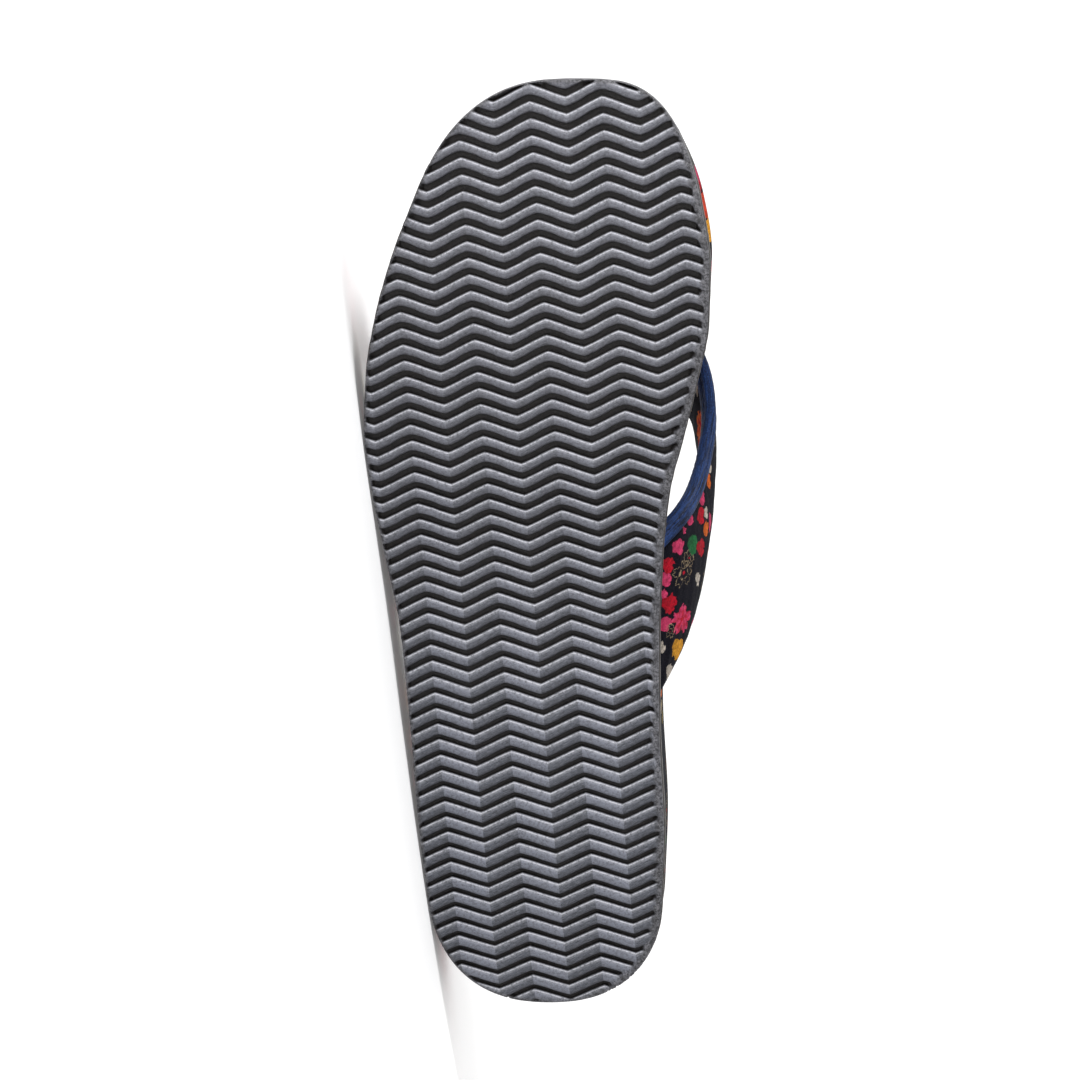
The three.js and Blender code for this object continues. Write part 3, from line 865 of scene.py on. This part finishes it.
def blossom(t, group, offset, radius, turn):
    return t.node("Group", {"Offset": offset, "Radius": radius, "Turn": turn},
                  node_tree=group).outputs


def blossom_colour(t, share, lobe, tint, core, reach, strong, shaded, dot):
    """Petals with spokes, a shaded middle and a dot, all three in the core's colour."""
    spoke = over(t, t.times(t.minus(lobe, 0.72), t.minus(reach, share)), 0.05)
    body = t.mix(t.times(spoke, strong), tint, core)
    body = t.mix(t.times(t.minus(shaded, share, clamp=True), 0.6), body, core)
    return t.mix(over(t, t.minus(dot, share), 0.05), body, core)


def scattered(t, chart, size, shift, randomness, clearings):
    """Offset from the nearest of many scattered places, three random numbers for it, and
    whether the place lies outside all the clearings."""
    moved = t.vector("ADD", chart, shift)
    inputs = {"Vector": moved, "Scale": 1 / size, "Randomness": randomness}
    nearest_one = t.node("TexVoronoi", inputs, voronoi_dimensions="2D").outputs
    offset = t.vector("SUBTRACT", moved, nearest_one["Position"])
    numbers = t.node("SeparateColor", {0: nearest_one["Color"]}).outputs
    kept = 1.0
    for row in clearings:
        middle = (row["run"] + shift[0], row["side"] + shift[1], 0.0)
        away = t.vector("ABSOLUTE", t.vector("SUBTRACT", nearest_one["Position"], middle))
        x, y, nothing = t.split(away)
        cleared = t.times(t.math("LESS_THAN", x, row["half_run"]),
                          t.math("LESS_THAN", y, row["half_side"]))
        kept = t.times(kept, t.minus(1.0, cleared))
    return offset, numbers, kept


def over(t, inside, soft=0.12):
    """Sharp printed mask from a distance inside an outline, in millimetres."""
    return t.divided(t.plus(inside, soft / 2), soft, clamp=True)


def printed(t, group, drawn, row, colour):
    """One listed part of the print over the colour so far."""
    size = row["size"]
    turn = math.radians(row["turn"])
    x, y = math.cos(turn), math.sin(turn)
    tip, side = (t.times(t.minus(t.vector_value("DOT_PRODUCT", drawn, (a, b, 0.0)),
                                 row["run"] * a + row["side"] * b), stretch)
                 for a, b, stretch in ((x, y, 1), (-y, x, row["slim"])))
    if row["kind"] == "petal":
        spread = t.times(side, t.minus(1.0, t.times(tip, 0.3 / size)))
        body = t.minus(size, t.hypot(tip, spread))
        notch = t.hypot(t.minus(tip, size * 1.04), side)
        body = t.math("MINIMUM", body, t.minus(notch, size * 0.26))
        vein = over(t, t.minus(0.16, t.absolute(side)), 0.2)
        base = t.times(t.minus(0.5, t.divided(tip, size * 1.6), clamp=True), 0.55)
        deep = tuple(0.35 * value for value in row["tint"][:3]) + (1,)
        tint = t.mix(t.math("MAXIMUM", t.times(vein, 0.35), base), row["tint"], deep)
        return t.mix(over(t, body), colour, tint)
    joined = t.node("CombineXYZ", {0: tip, 1: side}).outputs[0]
    inside, share, lobe = blossom(t, group, joined, size, 0.6)
    if row["kind"] == "line":
        line = over(t, t.minus(0.16, t.absolute(inside)))
        inner = over(t, t.minus(0.05, t.absolute(t.minus(share, 0.42))), 0.04)
        inner = t.times(inner, t.math("GREATER_THAN", lobe, 0.55))
        colour = t.mix(t.times(t.math("MAXIMUM", line, inner), 0.85), colour, GOLD)
        return t.mix(over(t, t.minus(0.14, share), 0.04), colour, RED)
    body = blossom_colour(t, share, lobe, row["tint"], row["core"], 0.6, 0.7, 0.75, 0.15)
    return t.mix(over(t, inside), colour, body)


def print_fabric(name, charted, clearings):
    """Navy crepe printed with scattered blossoms; "charted" adds blossoms and petals one by one."""
    made, t, shader = material(name)
    chart, place = t.chart(), t.place()
    group = bpy.data.node_groups.get("blossom") or blossom_group()
    drawn = chart
    for scale, swing in ((0.55, 2.0), (2.2, 0.5)):
        ragged = t.node("TexNoise", {"Scale": scale, "Vector": chart}).outputs["Color"]
        drift = t.scale(t.vector("SUBTRACT", ragged, (0.5, 0.5, 0.5)), swing)
        drawn = t.vector("ADD", drawn, drift)
    colour = NAVY

    # thin outlined blossoms, then loose petals and leaves, then full blossoms on top
    offset, (r1, r2, r3), kept = scattered(t, drawn, 14.5, (31.0, 17.0, 0.0), 0.5, clearings)
    inside, share, lobe = blossom(t, group, offset, 5.4, t.times(r1, TURN))
    line = over(t, t.minus(0.15, t.absolute(inside)))
    rib = t.times(over(t, t.times(t.minus(0.16, lobe), t.times(share, 2.0))), over(t, inside))
    colour = t.mix(t.times(t.math("MAXIMUM", line, rib), t.times(kept, 0.8)), colour, GOLD)
    dot = t.times(over(t, t.minus(0.5, t.vector_value("LENGTH", offset))), kept)
    colour = t.mix(dot, colour, RED)

    offset, (r1, r2, r3), kept = scattered(t, drawn, 5.6, (3.0, 9.0, 0.0), 0.75, clearings)
    turned = t.node("VectorRotate", {"Vector": offset, "Angle": t.times(r1, TURN)},
                    rotation_type="Z_AXIS").outputs[0]
    stretched = t.vector_value("LENGTH", t.vector("MULTIPLY", turned, (1.0, 1.75, 0.0)))
    loose = over(t, t.minus(t.plus(1.0, t.times(r3, 0.9)), stretched))
    loose = t.times(loose, t.times(t.math("LESS_THAN", r2, 0.66), kept))
    tint = t.ramp(r3, [(0.0, RED), (0.28, PINK), (0.56, ORANGE), (0.68, WHITE), (0.78, GREEN),
                       (0.88, YELLOW)], True)
    colour = t.mix(loose, colour, tint)

    offset, (r1, r2, r3), kept = scattered(t, drawn, 11.5, (0.0, 0.0, 0.0), 0.45, clearings)
    radius = t.plus(3.6, t.times(r3, 1.3))
    inside, share, lobe = blossom(t, group, offset, radius, t.times(r1, TURN))
    tint = t.ramp(r2, [(0.0, WHITE), (0.22, PINK), (0.56, RED), (0.72, ORANGE),
                       (0.86, YELLOW)], True)
    core = t.ramp(r2, [(0.0, OLIVE), (0.22, PURPLE), (0.4, RED), (0.56, PINK), (0.72, RED),
                       (0.86, RED)], True)
    body = blossom_colour(t, share, lobe, tint, core, 0.62, 0.8, 0.8, 0.16)
    present = t.times(t.math("LESS_THAN", r1, 0.86), kept)
    colour = t.mix(t.times(over(t, inside), present), colour, body)

    # the listed blossoms, petals and leaves, placed in the clearings
    for row in charted:
        colour = printed(t, group, drawn, row, colour)

    # crepe: short wavy ridges, and the thread under them
    crepe = t.noise(t.vector("MULTIPLY", drawn, (1.0, 2.2, 1.0)), 1.5, 3, 0.55)
    thread = t.bands(chart, "DIAGONAL", 0.9, 3.0)
    fibre = t.noise(place, 3800, 3, 0.7)
    dye = t.noise(chart, 0.8, 4, 0.65)
    dye_and_painted_shade = t.scale(colour, t.ramp(dye, [(0.32, 0.55), (0.66, 1.2)]))
    dye_and_painted_shade = t.mix(t.ramp(fibre, [(0.45, 0.0), (0.75, 0.06)]), dye_and_painted_shade, srgb(140, 140, 165))
    # painted shade: the crepe's hollows, where its bump is lowest, are painted near black
    dye_and_painted_shade = t.mix(t.ramp(crepe, [(0.32, 0.6), (0.52, 0.0)]), dye_and_painted_shade, srgb(5, 4, 9))
    relief = t.bump(thread, 0.25, 0.00012, t.bump(fibre, 0.3, 0.0001))
    t.finish(shader, dye_and_painted_shade, 0.85, 0.07, t.bump(crepe, 0.55, 0.0004, relief))
    return made


def piping_fabric():
    """Blue binding: fine cross rib, with painted highlight on its ridges and painted shade between.
    """
    made, t, shader = material("piping_blue")
    chart, place = t.chart(), t.place()
    along = t.bands(chart, "X", 0.75, 0.6)
    cross = t.bands(chart, "Y", 0.5, 1.2)
    fibre = t.noise(place, 3000, 3, 0.7)
    pull = t.noise(t.vector("MULTIPLY", chart, (0.12, 3.0, 1.0)), 1.0, 3, 0.6)
    # painted highlight and shade: pale blue where the pulled ridges stand high, dark navy between
    base = t.mix(t.ramp(pull, [(0.42, 0.0), (0.60, 1.0)]), srgb(2, 8, 26), srgb(28, 58, 112))
    base = t.mix(t.ramp(fibre, [(0.52, 0.0), (0.7, 0.35)]), base, srgb(62, 92, 150))
    base = t.mix(t.ramp(fibre, [(0.38, 0.5), (0.52, 0.0)]), base, srgb(3, 7, 22))
    # painted shade: the troughs of the fine rib bands are painted darker
    base = t.mix(t.ramp(along, [(0.0, 0.45), (0.4, 0.0)]), base, srgb(6, 14, 36))
    relief = t.bump(along, 0.3, 0.00014, t.bump(fibre, 0.3, 0.0001))
    relief = t.bump(cross, 0.25, 0.0002, t.bump(pull, 0.5, 0.0004, relief))
    t.finish(shader, base, 0.6, 0.15, relief)
    return made


def thread_cotton():
    made, t, shader = material("thread_cotton")
    twist = t.noise(t.place(), 4000, 2, 0.5)
    colour = t.mix(twist, srgb(14, 30, 72), srgb(44, 72, 128))
    t.finish(shader, colour, 0.6, 0.5, t.bump(twist, 0.4, 0.0001))
    return made


# Listed parts of the print: "run" along the strap from its inner root and "side" back from
# its front edge, in millimetres; "size" is the longer half, "slim" the longer over the shorter.
# On the footbed "run" is how far to the inner side, down over the edge, and "side" is from the toe.
def placed(kind, run, side, size, slim, turn, tint=None, core=None):
    return {"kind": kind, "run": run, "side": side, "size": size, "slim": slim, "turn": turn,
            "tint": tint, "core": core}


outlined, petal, flower = (partial(placed, kind) for kind in ("line", "petal", "flower"))

# Boxes kept free of scattered blossoms, where the listed ones go.
CLEARING = "run side half_run half_side"
STRAP_CLEARINGS = table(CLEARING, (7, 22, 20, 25), (41, 6, 15, 14), (68, 112, 17, 13))
FOOTBED_CLEARINGS = table(CLEARING, (56, 22, 20, 27), (51, 194, 22, 40))
STRAP_CHART = [
    outlined(13, 13.5, 6.0, 2.0, 35), outlined(16.3, 11.5, 3.6, 1.8, 35),
    flower(13.5, 26, 7.5, 2.2, 35, PINK, RED), petal(19, 9, 3.8, 1.7, 30, GREEN),
    petal(28, 6, 3.4, 1.8, 25, RED), petal(25.5, 13, 4.2, 2.2, 35, RED),
    petal(19.5, 3, 2.2, 2.0, 22, PINK), petal(14.6, 3.2, 1.3, 1.7, 35, PINK),
    petal(10.8, 5.2, 3.1, 2.0, 36, PINK), petal(31.5, 11.5, 2.8, 1.7, 35, ORANGE),
    petal(33, 8, 2.0, 1.5, 25, WHITE), petal(31.5, 3.2, 3.0, 2.0, 23, PINK),
    petal(41, 4.7, 2.4, 1.6, 14, ORANGE), petal(44.5, 3, 2.0, 1.6, 6, WHITE),
    petal(5.7, 6.7, 3.5, 2.2, 37, RED), petal(5, 10, 2.6, 1.8, 45, PINK),
    petal(3.5, 13, 2.2, 2.2, 40, PINK), petal(6, 17, 4.0, 2.2, 43, RED),
    petal(4, 21, 4.0, 2.5, 40, PINK), outlined(7, 25, 3.0, 2.0, 50),
    petal(13, 33.5, 5.5, 2.6, 43, YELLOW), petal(23, 20, 2.8, 2.2, 45, WHITE),
    petal(9.5, 37.5, 3.6, 2.6, 47, WHITE), petal(3.5, 27, 2.4, 2.4, 58, WHITE),
    petal(37, 13, 2.8, 1.6, 70, PINK), flower(63, 115.5, 4.6, 1.1, 10, ORANGE, RED),
    petal(58, 113.0, 2.0, 1.8, 20, RED), petal(72, 117.0, 2.2, 2.4, 10, WHITE),
    outlined(76, 110, 4.0, 1.0, 10),
]
FOOTBED_CHART = [
    flower(31, 12, 4.6, 1.0, 20, WHITE, OLIVE), petal(34, 22, 2.2, 1.7, 40, GREEN),
    petal(47, 25.3, 5.0, 1.7, 6, RED), petal(46, 23.9, 3.8, 2.2, 8, PINK),
    petal(47, 32.2, 5.0, 1.6, -4, CORAL), petal(47, 38.5, 5.0, 1.6, 4, YELLOW),
    petal(41, 160, 5.0, 2.0, 6, ORANGE), petal(43, 165.2, 4.0, 2.8, -6, GOLD),
    petal(40, 169, 3.6, 3.0, 4, OLIVE), outlined(36, 184, 5.0, 1.0, 20),
    petal(30, 192, 2.2, 1.7, 30, GREEN), flower(33, 203, 4.4, 1.0, 0, ORANGE, RED),
    outlined(35, 221, 5.0, 1.0, 50), petal(29, 214, 2.0, 1.6, -30, RED),
    outlined(44, 194, 4.6, 1.0, 70), outlined(43, 212, 4.8, 1.0, 10),
    petal(46, 202, 1.8, 1.7, 10, GREEN), petal(38, 229, 2.0, 1.8, 60, PURPLE),
]


# ---- Scene ----

def dress(piece, made):
    """Material, body and material slot of a piece."""
    piece.data.materials.clear()
    piece.data.materials.append(made)
    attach(piece, "root")
    return piece


sole = dress(outsole(), rubber())
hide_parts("outsole")
bed = dress(footbed(), print_fabric("print_footbed", FOOTBED_CHART, FOOTBED_CLEARINGS))
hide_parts("footbed")
band = dress(strap(), print_fabric("print_strap", STRAP_CHART, STRAP_CLEARINGS))
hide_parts("strap")
cord = dress(piping(), piping_fabric())
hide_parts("piping")
dress(stitches(), thread_cotton())
post = dress(toe_post(), print_fabric("print_post", [], []))
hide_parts("toe_post")


def studio():
    """Pale floor that curves up into a backdrop, glowing slightly with painted light."""
    width, deep, bend, high = 8.0, 4.2, 0.8, 8.0
    section = [(-6.0, 0.0), (-1.0, 0.0), (deep - bend, 0.0)]
    section += [(deep - bend + bend * math.sin(a), bend * (1 - math.cos(a)))
                for a in np.linspace(0, math.pi / 2, 25)[1:]]
    section.append((deep, high))
    mesh = bpy.data.meshes.new("studio_floor")
    points = [(x, y, z) for y, z in section for x in (-width, width)]
    mesh.from_pydata(points, [], [(k, k + 1, k + 3, k + 2) for k in range(0, len(points) - 2, 2)])
    mesh.shade_smooth()
    made, t, shader = material("studio_paper")
    tone = t.mix(t.noise(t.place(), 30, 2), (0.90, 0.90, 0.90, 1), (0.92, 0.92, 0.92, 1))
    t.put(shader["Base Color"], tone)
    shader["Roughness"].default_value = 0.9
    # painted light: the paper glows a little, lifting the shadows that fall on it
    shader["Emission Color"].default_value = (1, 1, 1, 1)
    shader["Emission Strength"].default_value = 0.12
    mesh.materials.append(made)
    put_in_scene("studio_floor", mesh)


def area_light(name, place, target, size, power):
    data = bpy.data.lights.new(name, "AREA")
    data.shape = "DISK"
    data.size = size
    data.energy = power
    light = put_in_scene(name, data)
    light.location = place
    light.rotation_euler = (Vector(target) - Vector(place)).to_track_quat("-Z", "Y").to_euler()


def lights():
    """White surroundings, a key light from the toe's side and a wash on the backdrop."""
    world = bpy.data.worlds.new("studio_world")
    world.use_nodes = True
    sky = world.node_tree.nodes["Background"].inputs
    sky["Color"].default_value = (1, 1, 1, 1)
    sky["Strength"].default_value = 0.85
    bpy.context.scene.world = world
    area_light("key_toe_side", (-1.25, -0.42, 0.75), (0, 0, 0.05), 0.30, 17)
    area_light("backdrop_wash", (0, 2.6, 2.8), (0, 4.1, 0.3), 2.5, 45)


CAMERA_TO_TOE = math.radians(15)
CAMERA_TO_INNER = math.radians(4)
CAMERA_DISTANCE = 1.6
FIELD = 0.277  # width of the view at the shoe, in metres
SENSOR = 36
AIM = Vector((0.25, -0.49 * LENGTH, 9))  # in the shoe's frame


def camera():
    """Squarely below the shoe, turned towards its toe and inner side, rolled so the toe is up."""
    outer, toe, above = (TO_WORLD.to_3x3() * MM_IN_METRE).transposed()
    away = -above + math.tan(CAMERA_TO_TOE) * toe - math.tan(CAMERA_TO_INNER) * outer
    away.normalize()
    right = toe.cross(away).normalized()
    up = away.cross(right)
    data = bpy.data.cameras.new("camera")
    data.sensor_width = SENSOR
    data.lens = SENSOR * CAMERA_DISTANCE / FIELD
    data.clip_start, data.clip_end = 0.1, 50
    pose = Matrix((right, up, away)).transposed().to_4x4()
    pose.translation = TO_WORLD @ AIM + away * CAMERA_DISTANCE
    made = put_in_scene("camera", data)
    made.matrix_world = pose
    bpy.context.scene.camera = made


studio()
lights()
camera()
bpy.context.scene.view_settings.view_transform = "Standard"
